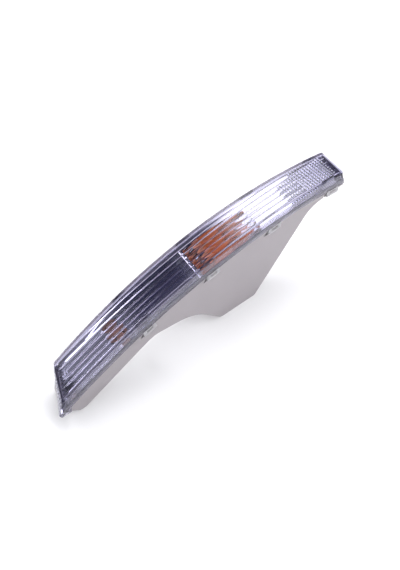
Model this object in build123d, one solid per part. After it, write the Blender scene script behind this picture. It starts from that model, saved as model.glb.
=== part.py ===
from build123d import *
import os
from math import asin, cos, degrees, radians, sin, sqrt, tan

# Frame: X along the lamp, Y from the flat near side to the bowed far side, Z up through the lens face.
# The lamp lies on its back, on the rim of the bulge and on the heel at its pointed end (Z = 0).

# Overall form
lamp_width = 47.4
left_tip_x = -206.2
right_end_x = 203.8
left_end_yaw = 23.5
left_end_lean = 8.0
right_end_yaw = 5.3
right_end_lean = 15.5
far_bow_radius = 3226.0
far_bow_x = -11.0

# Arch of the lens face, a cylinder about an axis along Y
face_radius = 695.5
arch_top_x = 136.3
arch_top_z = 124.3

# Lens: depths are measured from the face, at the near and at the far side
near_skirt = 19.0
far_skirt = 11.0
near_seat = 14.0
far_seat = 6.0
skirt_wall = 2.2
ledge_wall = 4.2
face_wall = 2.2
ridge_radius = 3.0
flute_count = 6
flute_pitch = 6.7
flute_rise = 0.9
pillow_start_x = 146.0
pillow_count = 11
pillow_pitch = 4.0
pillow_groove = 1.1

# Snap tabs of the lens and their catches on the housing
tab_first_x = -91.0
tab_count = 4
tab_pitch = 92.0
tab_length = 18.0
tab_drop = 8.5
tab_root = 1.0
tab_window_length = 9.0
tab_window_height = 3.4
tab_window_drop = 3.6
catch_gap = 0.3
notch_size = 5.0
notch_depth = 3.6
notch_boss_depth = 2.0
notch_margin = 1.2
nose_length = 14.0
nose_height = 7.0

# Seal between lens and housing
seal_thick = 1.6
seal_gap = 0.15

# Housing
lap_gap = 0.2
housing_wall = 2.5
edge_round = 0.8
heel_x = -175.8
heel_flat = 7.5
heel_rise = 37.8
heel_radius = 8.0
crest_x = -77.5
crest_z = 46.1
crest_radius = 35.0
shoulder_x = -20.0
shoulder_z = 39.0
shoulder_radius = 70.0
base_left_x = 19.5
base_right_x = 71.0
base_left_radius = 8.0
base_right_radius = 6.0
tail_x = 153.0
tail_z = 93.5
tail_radius = 35.0
tail_slope = 3.3
port_floor_z = 42.0
port_wall = 3.0
mouth_gap = 1.7

# Reflectors
ledge_width = 2.0
ledge_height = 2.0
ledge_drop = 2.6
flange_thick = 1.6
flange_gap = 0.2
trough_gap = 0.5
reflector_wall = 1.8
reflector_flute_rise = 0.3
indicator_floor = 21.0
marker_floor = 30.0
divider_x = -9.0
divider_gap = 0.6
bowl_focus = 15.2
bowl_steep_focus = 7.0
bowl_lift = 3.5
bowl_wall_drop = 2.5
bowl_hole_gap = 1.0
marker_bowl_radius = 13.0
marker_bowl_hole = 6.3
marker_bowl_depth = 7.0
marker_bowl_lip = 0.9

# Screws, inserts and vent
screw_radius = 1.5
screw_length = 10.0
screw_head_radius = 3.0
screw_head_height = 2.2
screw_slot = 0.8
screw_gap = 0.15
boss_radius = 3.4
marker_screw_x = (-146.0, -61.0)
indicator_screw_angle = -41.0
indicator_screw_gap = 0.8
insert_edge = 2.4
insert_radius = 3.2
insert_bore = 2.1
insert_length = 10.0
insert_boss_radius = 4.8
insert_boss_height = 13.0
vent_x = 104.0
vent_radius = 4.0
vent_bore = 2.0
vent_length = 6.0
vent_cap_wall = 1.4

# Twist-lock holders: heights are measured from the outer face of the port wall, into the lamp
twist_angle = 40.0
lug_count = 3
lug_thick = 2.0
lug_gap = 0.35
port_gap = 0.5
holder_seal_thick = 1.9
holder_seal_gap = 0.25
holder_seal_setback = 0.4
flange_disc = 2.0
part_gap = 0.1

# Indicator holder and its bayonet bulb
indicator_room_gap = 1.5
indicator_lug_reach = 2.6
indicator_lug_width = 9.0
indicator_flange_rim = 3.4
indicator_neck_top = 7.5
grip_setback = 1.1
grip_rib_count = 10
grip_rib = 1.2
sleeve_inner = 7.8
sleeve_wall = 0.5
sleeve_top = 7.0
sleeve_bottom = -4.0
bore_floor = -8.5
socket_floor = -13.0
socket_mouth = -30.0
socket_length = 22.0
socket_width = 11.0
socket_wall = 1.8
blade_width = 4.8
blade_thick = 0.8
blade_reach = 8.0
blade_tip = -23.5
spring_thick = 0.6
spring_disc = 4.0
cap_radius = 7.5
cap_wall = 0.5
cap_bottom = -3.0
cap_top = 12.5
cap_pin_radius = 1.0
cap_pin_reach = 9.0
cap_pin_height = 1.8
cap_pin_gap = 0.3
insulator_bottom = -4.6
insulator_top = -1.0
insulator_tip = 3.5
solder_radius = 2.5
solder_height = 1.0
solder_round = 0.7
glass_radius = 12.7
glass_neck = 6.8
glass_foot = 6.0
glass_shoulder = 23.0
glass_centre = 30.0
glass_wall = 0.8
stem_radius = 3.2
stem_top = 17.0
filament_height = 26.0
filament_span = 6.0
filament_radius = 0.7
wire_radius = 0.35
wire_root = 2.0
wire_spread = 0.7

# Marker holder and its wedge bulb
marker_x = -100.0
marker_neck = 8.0
marker_lug_reach = 2.2
marker_lug_width = 5.0
marker_flange_rim = 3.3
marker_neck_top = 6.5
marker_socket_floor = -9.0
marker_socket_mouth = -22.5
marker_socket_length = 11.0
marker_socket_width = 9.0
marker_socket_wall = 1.5
wedge_slot_bottom = -6.0
wedge_width = 9.6
wedge_thick = 2.4
wedge_foot = -5.5
wedge_gap = 0.2
strip_width = 2.8
strip_thick = 0.4
strip_offset = 2.5
strip_top = 4.0
strip_tip = -15.0
marker_glass_radius = 5.0
marker_glass_foot = 6.9
marker_glass_top = 25.0
marker_glass_wall = 0.6
marker_filament_height = 17.0
marker_filament_span = 4.0

# Values worked out from the driving sizes
half_width = lamp_width / 2
arch_centre_z = arch_top_z - face_radius
arch_start = 36.0
arch_sweep = 50.0
side_reach = 60.0
tall = 200.0
long = 600.0
touch = 0.01
over = 1.0
end_reach = 15.0
housing_inset = skirt_wall + lap_gap
room_inset = housing_inset + housing_wall
flange_inset = room_inset + flange_gap
trough_inset = room_inset + ledge_width + trough_gap
near_rim = near_seat + seal_thick
far_rim = far_seat + seal_thick
near_flange = near_rim + ledge_drop - flange_thick - flange_gap
far_flange = far_rim + ledge_drop - flange_thick - flange_gap
seal_stack = holder_seal_thick + holder_seal_gap
cap_inner = cap_radius - cap_wall
bulb_x = (base_left_x + base_right_x) / 2
indicator_flange = half_width - room_inset - indicator_room_gap
indicator_neck = indicator_flange - indicator_flange_rim
grip_radius = indicator_neck - grip_setback
mouth_length = 2 * (indicator_flange + mouth_gap)
bowl_vertex_z = port_floor_z + port_wall + bowl_lift
bowl_hole = indicator_neck + bowl_hole_gap
indicator_screw_circle = indicator_flange + screw_head_radius + indicator_screw_gap
tab_xs = [tab_first_x + tab_pitch * i for i in range(tab_count)]


def face_z(x, depth=0.0):
    """Height of the arch at x, a given depth below the face."""
    radius = face_radius - depth
    return arch_centre_z + sqrt(radius ** 2 - (x - arch_top_x) ** 2)


def arch_place(x, depth):
    """Frame on the arch at x: local Z points out through the face, local X along the arch."""
    turn = degrees(asin((x - arch_top_x) / face_radius))
    out = radians(turn)
    radius = face_radius - depth
    return Location((arch_top_x + radius * sin(out), 0, arch_centre_z + radius * cos(out)), (0, turn, 0))


def far_edge_y(x):
    """Far side of the lamp in plan."""
    return half_width - far_bow_radius + sqrt(far_bow_radius ** 2 - (x - far_bow_x) ** 2)


# Common envelope
def arched(section):
    """Section drawn as (Y, radius), swept along the whole arch."""
    start = radians(arch_start)
    plane = Plane(
        origin=(arch_top_x, 0, arch_centre_z),
        x_dir=(0, 1, 0),
        z_dir=(cos(start), 0, sin(start)),
    )
    axis = Axis((arch_top_x, 0, arch_centre_z), (0, 1, 0))
    return revolve(plane * section, axis=axis, revolution_arc=arch_sweep)


def below(near_depth, far_depth):
    """Everything deeper than a surface that runs from near_depth to far_depth across the lamp."""
    spread = (far_depth - near_depth) / lamp_width * (side_reach - half_width)
    top_near = face_radius - near_depth + spread
    top_far = face_radius - far_depth - spread
    bottom = face_radius - tall
    near = [(-side_reach, top_near), (-side_reach, bottom)]
    far = [(side_reach, bottom), (side_reach, top_far)]
    return arched(Polygon(*near, *far, align=None))


def fluted(depth, rise, edge_depth):
    """Region between a fluted line at the given depth and a plain line at edge_depth."""
    line_radius = face_radius - depth
    edge_radius = face_radius - edge_depth
    first = -flute_count * flute_pitch / 2
    with BuildSketch() as sketch:
        with BuildLine():
            Line((-side_reach, line_radius), (first, line_radius))
            for i in range(flute_count):
                start = first + i * flute_pitch
                middle = (start + flute_pitch / 2, line_radius - rise)
                ThreePointArc((start, line_radius), middle, (start + flute_pitch, line_radius))
            Line((-first, line_radius), (side_reach, line_radius))
            Line((side_reach, line_radius), (side_reach, edge_radius))
            Line((side_reach, edge_radius), (-side_reach, edge_radius))
            Line((-side_reach, edge_radius), (-side_reach, line_radius))
        make_face()
    return arched(sketch.sketch)


def end_plane(x, depth_z, yaw, lean, inset):
    """Leaning end of the lamp, moved inwards by inset; its normal points into the lamp."""
    across = Vector(sin(radians(yaw)), cos(radians(yaw)), 0)
    up = Vector(sin(radians(lean)), 0, cos(radians(lean)))
    normal = across.cross(up).normalized()
    if normal.X * x > 0:
        normal = normal * -1
    return Plane(origin=Vector(x, -half_width, depth_z) + normal * inset, z_dir=normal)


def block(inset):
    """Plan of the lamp with all four sides moved inwards by inset, as a tall prism."""
    strip = Pos(0, half_width - lamp_width + inset + side_reach) * Rectangle(long, 2 * side_reach)
    bowed = Pos(far_bow_x, half_width - far_bow_radius) * Circle(far_bow_radius - inset)
    prism = extrude(strip & bowed, amount=tall, both=True)
    left = end_plane(left_tip_x, face_z(left_tip_x, near_skirt), left_end_yaw, left_end_lean, inset)
    right = end_plane(right_end_x, face_z(right_end_x, near_skirt), right_end_yaw, -right_end_lean, inset)
    prism = split(prism, bisect_by=left, keep=Keep.TOP)
    return split(prism, bisect_by=right, keep=Keep.TOP)


def side_solid(inset):
    """Back outline of the housing seen from the near side, moved inwards by inset."""
    heel_left = heel_x - heel_flat / 2
    start_x = left_tip_x - end_reach
    start_z = (heel_left - start_x) * tan(radians(heel_rise))
    end_x = right_end_x + end_reach
    end_z = tail_z + (end_x - tail_x) * tan(radians(tail_slope))
    corners = [
        (start_x, start_z),
        (heel_left, 0),
        (heel_left + heel_flat, 0),
        (crest_x, crest_z),
        (shoulder_x, shoulder_z),
        (base_left_x, 0),
        (base_right_x, 0),
        (tail_x, tail_z),
        (end_x, end_z),
    ]
    rounds = [
        heel_radius,
        heel_radius,
        crest_radius,
        shoulder_radius,
        base_left_radius,
        base_right_radius,
        tail_radius,
    ]
    with BuildSketch(Plane.XZ) as sketch:
        with BuildLine():
            FilletPolyline(*corners, radius=rounds)
            Polyline((end_x, end_z), (end_x, tall), (start_x, tall), (start_x, start_z))
        make_face()
        if inset > 0:
            offset(amount=-inset, mode=Mode.REPLACE)
    return extrude(sketch.sketch, amount=side_reach, both=True)


def rear_place(x):
    """Frame on the outside of the back wall at x: local Z points square into the lamp."""
    if x < crest_x:
        start, end = (heel_x + heel_flat / 2, 0), (crest_x, crest_z)
    elif x < shoulder_x:
        start, end = (crest_x, crest_z), (shoulder_x, shoulder_z)
    else:
        start, end = (base_right_x, 0), (tail_x, tail_z)
    slope = (end[1] - start[1]) / (end[0] - start[0])
    origin = (x, 0, start[1] + (x - start[0]) * slope)
    normal = Vector(-slope, 0, 1).normalized()
    return Plane(origin=origin, x_dir=(0, 1, 0), z_dir=normal).location


def tube(outer, inner, bottom, top):
    """Ring about the local Z axis."""
    return rod(outer, bottom, top) - rod(inner, bottom, top)


def rod(radius, bottom, top):
    """Cylinder about the local Z axis, from bottom to top."""
    return Pos(0, 0, bottom) * Cylinder(radius, top - bottom, align=(Align.CENTER, Align.CENTER, Align.MIN))


def bar(length, width, bottom, top):
    """Box centred on the local Z axis, from bottom to top."""
    box = Box(length, width, top - bottom, align=(Align.CENTER, Align.CENTER, Align.MIN))
    return Pos(0, 0, bottom) * box


def right_of(x):
    """Half space to the right of x."""
    return Pos(x, 0, 0) * Box(long, long, long, align=(Align.MIN, Align.CENTER, Align.CENTER))


def left_of(x):
    """Half space to the left of x."""
    return Pos(x, 0, 0) * Box(long, long, long, align=(Align.MAX, Align.CENTER, Align.CENTER))


def side_box(y_sign, length, bottom, top):
    """Box that reaches from the lamp's middle out past one long side."""
    return Pos(0, y_sign * side_reach / 2, 0) * bar(length, side_reach, bottom, top)


# Lens
def tab_places():
    """Each tab's frame at the lens edge, with the side it is on."""
    near = [(arch_place(x, near_skirt), -1) for x in tab_xs]
    far = [(arch_place(x, far_skirt), 1) for x in tab_xs]
    return near + far


def lens():
    outer = block(0) & below(0, 0)
    outer = outer - below(near_skirt, far_skirt)
    near_edges = outer.edges().filter_by_position(Axis.Y, -half_width - touch, -half_width + touch)
    ridge = near_edges.sort_by(lambda e: e.center().Z)[-1]
    outer = fillet(ridge, ridge_radius)
    body = outer - (block(ledge_wall) & fluted(face_wall, flute_rise, tall))
    body = body - (block(skirt_wall) & below(near_seat, far_seat))
    skin = block(0) - block(skirt_wall)
    for place, side in tab_places():
        body = body + (skin & (place * side_box(side, tab_length, -tab_drop, tab_root)))
        window_top = -tab_window_drop + tab_window_height / 2
        window = side_box(side, tab_window_length, window_top - tab_window_height, window_top)
        body = body - place * window
    nose_z = face_z(left_tip_x, near_skirt)
    nose = Pos(left_tip_x + nose_length / 2, -half_width, nose_z)
    body = body + (skin & (nose * bar(nose_length, 2 * skirt_wall, 0, nose_height)))
    for i in range(pillow_count):
        place = arch_place(pillow_start_x + i * pillow_pitch, face_wall + flute_rise)
        groove = Cylinder(pillow_groove, lamp_width - 2 * ledge_wall - ridge_radius, rotation=(90, 0, 0))
        body = body - place * groove
    return body


def lens_seal():
    ring = block(housing_inset + seal_gap) - block(ledge_wall - seal_gap)
    ring = ring & below(near_seat + seal_gap, far_seat + seal_gap)
    return ring - below(near_rim - seal_gap, far_rim - seal_gap)


# Housing
def catches():
    """Ramped catch in each tab's window."""
    solids = []
    height = tab_window_height - 2 * catch_gap
    length = tab_window_length - 2 * catch_gap
    proud = skirt_wall + lap_gap - catch_gap
    root = lap_gap + housing_wall / 2
    for place, side in tab_places():
        x = place.position.X
        wall_y = half_width if side < 0 else far_edge_y(x)
        middle = -tab_window_drop
        wedge = Polygon(
            (-root, middle + height / 2),
            (0, middle + height / 2),
            (proud, middle - height / 2),
            (-root, middle - height / 2),
            align=None,
        )
        prism = extrude(Plane.YZ * wedge, amount=length / 2, both=True)
        prism = Pos(0, wall_y - housing_inset, 0) * prism
        if side < 0:
            prism = mirror(prism, about=Plane.XZ)
        solids.append(place * prism)
    return solids


def notch_places():
    """Place of the release pocket beside each near tab, on the outer face of the housing's wall."""
    at = Pos(-tab_length / 2 - catch_gap, housing_inset - half_width, -tab_drop - notch_size / 4)
    return [place * at for place, side in tab_places() if side < 0]


def notch_pocket():
    """Three-cornered pocket let into the wall."""
    corner = Polygon((0, 0), (0, notch_size), (-notch_size, 0), align=None)
    return extrude(Plane.XZ * corner, amount=-notch_depth)


def notch_boss():
    """Block behind the wall that keeps the pocket closed."""
    size = notch_size + 2 * notch_margin
    deep = housing_wall / 2 + notch_boss_depth
    at = Pos(notch_margin - size / 2, housing_wall / 2 + deep / 2, 0)
    return at * bar(size, deep, -notch_margin, size - notch_margin)


def insert_places():
    """Two opposite corners of the mouth, on the base rim."""
    along = mouth_length / 2 - insert_edge
    across = half_width - room_inset - insert_edge
    return [Pos(bulb_x + s * along, s * across, 0) for s in (1, -1)]


def marker_screw_places():
    """Two screws come in square to the back wall."""
    return [rear_place(x) for x in marker_screw_x]


def indicator_screw_places():
    """Two screws come in through the port wall, just clear of the holder's flange."""
    turns = (indicator_screw_angle, indicator_screw_angle + 180)
    return [indicator_place() * Rot(0, 0, turn) * Pos(indicator_screw_circle, 0, 0) for turn in turns]


def twist_port(neck, reach, width, thick):
    """Round hole with a notch for each lug, turned to the angle at which the holder comes out."""
    cut = rod(neck + port_gap, -over, thick + over)
    limit = rod(neck + reach + port_gap, -over, thick + over)
    for i in range(lug_count):
        arm = Pos(neck / 2 + reach, 0, 0) * bar(neck + 2 * reach, width + 2 * port_gap, -over, thick + over)
        cut = cut + (Rot(0, 0, i * 360 / lug_count - twist_angle) * arm & limit)
    return cut


def indicator_place():
    return Location((bulb_x, 0, port_floor_z))


def marker_place():
    return rear_place(marker_x)


def vent_place():
    return rear_place(vent_x)


def housing():
    outer = block(housing_inset) & side_solid(0)
    near_y = housing_inset - half_width
    low = outer.edges().filter_by_position(Axis.Y, near_y - touch, near_y + touch)
    low = [e for e in low if e.center().Z < face_z(e.center().X, near_skirt + edge_round)]
    outer = fillet(low, edge_round)
    body = outer & below(near_rim, far_rim)
    room = block(room_inset) & side_solid(housing_wall)
    deck = port_floor_z + port_wall
    bulge = right_of(shoulder_x) & bar(long * 2, long, -tall, deck)
    body = body - (room - bulge)
    recess = right_of(shoulder_x) & bar(long * 2, long, -tall, port_floor_z)
    body = body - (room & recess)
    mouth = Pos(bulb_x, 0, 0) * bar(mouth_length, lamp_width - 2 * room_inset, -over, 2 * housing_wall)
    body = body - mouth
    ledge = block(room_inset - housing_wall / 2) - block(room_inset + ledge_width)
    ledge = ledge & below(near_rim + ledge_drop, far_rim + ledge_drop)
    ledge = ledge - below(near_rim + ledge_drop + ledge_height, far_rim + ledge_drop + ledge_height)
    body = body + (ledge & side_solid(housing_wall / 2))
    inside = block(housing_inset) & side_solid(0)
    for place in insert_places():
        body = body + (place * rod(insert_boss_radius, 0, insert_boss_height) & inside)
        body = body - place * rod(insert_radius + part_gap, -over, insert_length)
    for catch in catches():
        body = body + catch
    for place in notch_places():
        body = body + (place * notch_boss() & inside)
        body = body - place * notch_pocket()
    nozzle = vent_place() * rod(vent_radius, -vent_length, housing_wall / 2)
    body = body + nozzle
    body = body - vent_place() * rod(vent_bore, -vent_length - over, 2 * housing_wall)
    body = body - indicator_place() * twist_port(
        indicator_neck, indicator_lug_reach, indicator_lug_width, port_wall
    )
    body = body - marker_place() * twist_port(marker_neck, marker_lug_reach, marker_lug_width, housing_wall)
    for place in marker_screw_places() + indicator_screw_places():
        body = body - place * rod(screw_radius + screw_gap, -over, port_wall + over)
    return body


# Reflectors
def trough(floor_depth, keep_outer, keep_inner):
    """Fluted tray with a rim flange; keep_outer and keep_inner bound it along the lamp."""
    rim = below(near_flange, far_flange)
    plate = block(flange_inset) & keep_outer
    plate = plate & rim
    plate = plate - below(near_flange + flange_thick, far_flange + flange_thick)
    tray = block(trough_inset) & side_solid(housing_wall + flange_gap)
    tray = tray & keep_outer
    tray = tray & rim
    under = floor_depth + reflector_flute_rise + reflector_wall
    tray = tray - below(under, under)
    hollow = block(trough_inset + reflector_wall) & side_solid(housing_wall + flange_gap + reflector_wall)
    hollow = hollow & keep_inner
    hollow = hollow & fluted(floor_depth, reflector_flute_rise, -side_reach)
    return plate + tray, hollow


def bowl_height(radius):
    """Height of the bowl's steeper half at a radius from the bulb's axis."""
    return bowl_vertex_z + radius ** 2 / (4 * bowl_steep_focus)


def bowl(drop, inset):
    """Parabolic bowl about the bulb's axis, steeper away from the divider, lowered by drop, cut at inset."""
    rise = arch_top_z - indicator_floor + reflector_flute_rise - bowl_vertex_z
    edge = sqrt(4 * bowl_focus * rise)
    steep = edge / (2 * bowl_focus)
    top = rise + drop + over
    with BuildSketch(Plane.XZ) as sketch:
        with BuildLine():
            Spline((0, 0), (edge / 2, rise / 4), (edge, rise), tangents=((1, 0), (1, steep)))
            Polyline((edge, rise), (edge, top), (0, top), (0, 0))
        make_face()
    cup = revolve(sketch.sketch, axis=Axis.Z)
    squeeze = sqrt(bowl_steep_focus / bowl_focus) + drop / edge
    steep_cup = scale(cup, by=(squeeze, 1, 1))
    place = Pos(bulb_x, 0, bowl_vertex_z - drop)
    wide_half = place * cup & left_of(bulb_x)
    steep_half = place * steep_cup & right_of(bulb_x)
    return (wide_half + steep_half) & block(inset)


def indicator_reflector():
    start = divider_x + divider_gap / 2
    shell, hollow = trough(indicator_floor, right_of(start), right_of(start + reflector_wall))
    shell = shell + (bowl(bowl_wall_drop, trough_inset) & right_of(start))
    boss_top = bowl_height(indicator_screw_circle) - port_floor_z
    for place in indicator_screw_places():
        shell = shell + place * rod(boss_radius, port_wall, boss_top)
    body = shell - hollow
    body = body - (bowl(0, trough_inset + reflector_wall) & right_of(start + reflector_wall))
    body = body - indicator_place() * rod(bowl_hole, port_wall, bowl_height(bowl_hole) - port_floor_z)
    for place in indicator_screw_places():
        body = body - place * rod(screw_radius + screw_gap, 0, screw_length + over)
    return body


def marker_reflector():
    end = divider_x - divider_gap / 2
    shell, hollow = trough(marker_floor, left_of(end), left_of(end - reflector_wall))
    depth = marker_bowl_depth
    lip = marker_floor_height(marker_place()) + marker_bowl_lip
    foot = lip - depth
    funnel = Pos(0, 0, foot + depth / 2) * Cone(marker_bowl_hole, marker_bowl_radius, depth)
    cup = Pos(0, 0, foot - reflector_wall + depth / 2) * Cone(
        marker_bowl_hole + reflector_wall, marker_bowl_radius + reflector_wall, depth
    )
    shell = shell + marker_place() * cup
    for place in marker_screw_places():
        shell = shell + place * rod(boss_radius, housing_wall, marker_floor_height(place))
    body = shell - hollow
    body = body - marker_place() * funnel
    body = body - marker_place() * rod(marker_bowl_hole, housing_wall, lip)
    for place in marker_screw_places():
        body = body - place * rod(screw_radius + screw_gap, 0, screw_length + over)
    return body


def marker_floor_height(place):
    """Height of the marker reflector's floor above a frame on the outside of the back wall."""
    wall = place.position
    reach = sqrt((wall.X - arch_top_x) ** 2 + (wall.Z - arch_centre_z) ** 2)
    return face_radius - marker_floor - reach


# Small hardware
def reflector_screws():
    head = rod(screw_head_radius, -screw_head_height, 0)
    head = head - bar(2 * screw_head_radius, screw_slot, -screw_head_height, -screw_head_height / 2)
    head = head - bar(screw_slot, 2 * screw_head_radius, -screw_head_height, -screw_head_height / 2)
    screw = head + rod(screw_radius, 0, screw_length)
    places = marker_screw_places() + indicator_screw_places()
    return Compound([place * screw for place in places])


def mounting_inserts():
    insert = tube(insert_radius, insert_bore, 0, insert_length)
    return Compound([place * insert for place in insert_places()])


def vent_cap():
    cap = rod(vent_radius + part_gap + vent_cap_wall, -vent_length - vent_cap_wall - part_gap, -part_gap)
    cap = cap - rod(vent_radius + part_gap, -vent_length - part_gap, 0)
    slit = bar(2 * (vent_radius + vent_cap_wall) + over, vent_cap_wall, -vent_length / 3, 0)
    return vent_place() * (cap - slit)


# Twist-lock holders
def twist_mount(neck, rim, reach, width, thick, neck_top):
    """Flange, neck and lugs that lock a holder in its port."""
    body = rod(neck + rim, -seal_stack - flange_disc, -seal_stack)
    body = body + rod(neck, -seal_stack, neck_top)
    limit = rod(neck + reach, thick + lug_gap, thick + lug_gap + lug_thick)
    for i in range(lug_count):
        arm = Pos(neck / 2 + reach, 0, 0) * bar(neck + 2 * reach, width, thick, neck_top)
        body = body + (Rot(0, 0, i * 360 / lug_count) * arm & limit)
    return body


def twist_seal(neck, rim):
    return tube(neck + rim - holder_seal_setback, neck + part_gap, -seal_stack, -holder_seal_gap)


def shroud(length, width, wall, floor, mouth):
    """Plug socket that opens downwards."""
    outer = bar(length + 2 * wall, width + 2 * wall, mouth, floor + wall)
    return outer - bar(length, width, mouth - over, floor)


def blade_places():
    return [Pos(s * blade_reach, 0, 0) for s in (1, -1)]


def indicator_holder():
    body = twist_mount(
        indicator_neck,
        indicator_flange_rim,
        indicator_lug_reach,
        indicator_lug_width,
        port_wall,
        indicator_neck_top,
    )
    body = body + rod(grip_radius, socket_floor, -seal_stack)
    for i in range(grip_rib_count):
        rib = Pos(grip_radius, 0, 0) * bar(2 * grip_rib, grip_rib, socket_floor, -seal_stack)
        body = body + Rot(0, 0, (i + 0.5) * 360 / grip_rib_count) * rib
    body = body + shroud(socket_length, socket_width, socket_wall, socket_floor, socket_mouth)
    body = body - bar(socket_length, socket_width, socket_mouth, socket_floor)
    body = body - rod(sleeve_inner + sleeve_wall + part_gap, bore_floor, indicator_neck_top)
    pin_room = cap_pin_radius + 2 * cap_pin_gap
    pin_length = 2 * (cap_pin_reach + cap_pin_gap)
    body = body - bar(pin_length, 2 * pin_room, cap_pin_height - pin_room, indicator_neck_top)
    slit = bar(blade_thick + part_gap, blade_width + part_gap, socket_floor - over, bore_floor + over)
    for place in blade_places():
        body = body - place * slit
    return indicator_place() * body


def indicator_holder_seal():
    return indicator_place() * twist_seal(indicator_neck, indicator_flange_rim)


def indicator_socket_sleeve():
    sleeve = tube(sleeve_inner + sleeve_wall, sleeve_inner, sleeve_bottom, sleeve_top)
    pin_room = cap_pin_radius + cap_pin_gap
    slot = bar(4 * sleeve_inner, 2 * pin_room, cap_pin_height - pin_room, sleeve_top)
    return indicator_place() * (sleeve - slot)


def indicator_terminals():
    first, second = blade_places()
    to_contact = first * bar(blade_thick, blade_width, blade_tip, bore_floor)
    to_sleeve = second * bar(blade_thick / 2, blade_width / 2, bore_floor, sleeve_bottom)
    to_sleeve = to_sleeve + second * bar(blade_thick, blade_width, blade_tip, bore_floor)
    return indicator_place() * Compound([to_contact, to_sleeve])


def indicator_spring_contact():
    arm = bar(blade_reach, blade_width, bore_floor, bore_floor + spring_thick)
    top = insulator_bottom - solder_height - part_gap
    disc = rod(spring_disc, top - spring_thick, top)
    post = rod(solder_radius / 2, bore_floor, top)
    return indicator_place() * (Pos(blade_reach / 2, 0, 0) * arm + post + disc)


def indicator_bulb_cap():
    cap = tube(cap_radius, cap_inner, cap_bottom, cap_top)
    pins = Pos(0, 0, cap_pin_height) * Cylinder(cap_pin_radius, 2 * cap_pin_reach, rotation=(0, 90, 0))
    pins = pins - rod(cap_inner + cap_wall / 2, cap_bottom, cap_top)
    return indicator_place() * (cap + pins)


def indicator_bulb_insulator():
    disc = rod(cap_inner - part_gap, cap_bottom, insulator_top)
    stud = Pos(0, 0, insulator_bottom) * Cone(
        insulator_tip,
        cap_inner - part_gap,
        cap_bottom - insulator_bottom,
        align=(Align.CENTER, Align.CENTER, Align.MIN),
    )
    return indicator_place() * (disc + stud)


def indicator_bulb_contact():
    dome = rod(solder_radius, insulator_bottom - solder_height, insulator_bottom)
    edge = dome.edges().group_by(Axis.Z)[0]
    return indicator_place() * fillet(edge, solder_round)


def pear(radius, neck, foot, centre):
    """Solid pear of a bulb: round top, shoulders drawn in to a straight neck."""
    waist = (foot + glass_shoulder) / 2
    with BuildSketch(Plane.XZ) as sketch:
        with BuildLine():
            Line((0, foot), (neck, foot))
            Line((neck, foot), (neck, waist))
            Spline((neck, waist), (radius, centre), tangents=((0, 1), (0, 1)))
            RadiusArc((radius, centre), (0, centre + radius), -radius)
            Line((0, centre + radius), (0, foot))
        make_face()
    return revolve(sketch.sketch, axis=Axis.Z)


def indicator_bulb_glass():
    outer = pear(glass_radius, glass_neck, glass_foot, glass_centre)
    inner = pear(glass_radius - glass_wall, glass_neck - glass_wall, glass_foot + glass_wall, glass_centre)
    return indicator_place() * (outer - inner)


def indicator_bulb_stem():
    bottom = glass_foot + glass_wall
    stem = rod(stem_radius, bottom, stem_top)
    for s in (1, -1):
        hole = rod(wire_radius + part_gap, bottom + wire_root, stem_top)
        stem = stem - Pos(s * wire_spread * filament_span / 2, 0, 0) * hole
    return indicator_place() * stem


def coil(span, height, wires_from):
    """Filament lying along local X, with the wire at each end that carries it."""
    solid = Pos(0, 0, height) * Cylinder(filament_radius, span, rotation=(0, 90, 0))
    for s in (1, -1):
        post = rod(wire_radius, wires_from, height)
        solid = solid + Pos(s * wire_spread * span / 2, 0, 0) * post
    return solid


def indicator_filament():
    return indicator_place() * coil(filament_span, filament_height, glass_foot + glass_wall + wire_root)


def marker_holder():
    body = twist_mount(
        marker_neck, marker_flange_rim, marker_lug_reach, marker_lug_width, housing_wall, marker_neck_top
    )
    body = body + rod(marker_neck, marker_socket_floor, -seal_stack)
    length, width = marker_socket_length, marker_socket_width
    body = body + shroud(length, width, marker_socket_wall, marker_socket_floor, marker_socket_mouth)
    body = body - bar(length, width, marker_socket_mouth, marker_socket_floor)
    slot = wedge_thick + 2 * strip_thick + 2 * wedge_gap
    body = body - bar(wedge_width + 2 * wedge_gap, slot, wedge_slot_bottom, marker_neck_top)
    for strip in marker_strips(part_gap):
        body = body - strip
    return marker_place() * body


def marker_strips(gap):
    """Two strips, one on each face of the bulb's wedge, long enough to end as plug blades."""
    strips = []
    for s in (1, -1):
        across = wedge_thick / 2 + part_gap + strip_thick / 2
        strip = bar(strip_width + gap, strip_thick + gap, strip_tip, strip_top)
        strips.append(Pos(s * strip_offset, s * across, 0) * strip)
    return strips


def marker_holder_seal():
    return marker_place() * twist_seal(marker_neck, marker_flange_rim)


def marker_terminals():
    return marker_place() * Compound(marker_strips(0))


def capsule(radius, foot, top):
    """Round-topped tube of a small bulb."""
    body = rod(radius, foot, top - radius)
    return body + Pos(0, 0, top - radius) * Sphere(radius)


def marker_bulb_glass():
    glass = capsule(marker_glass_radius, marker_glass_foot, marker_glass_top)
    wall = marker_glass_wall
    glass = glass - capsule(marker_glass_radius - wall, marker_glass_foot + wall, marker_glass_top - wall)
    wedge = bar(wedge_width, wedge_thick, wedge_foot, marker_glass_foot + wall)
    for s in (1, -1):
        hole = rod(wire_radius + part_gap, wedge_foot + wire_root, marker_glass_foot + over)
        hole = Pos(s * wire_spread * marker_filament_span / 2, 0, 0) * hole
        wedge = wedge - hole
        glass = glass - hole
    return marker_place() * (glass + wedge)


def marker_filament():
    return marker_place() * coil(marker_filament_span, marker_filament_height, wedge_foot + wire_root)


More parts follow.
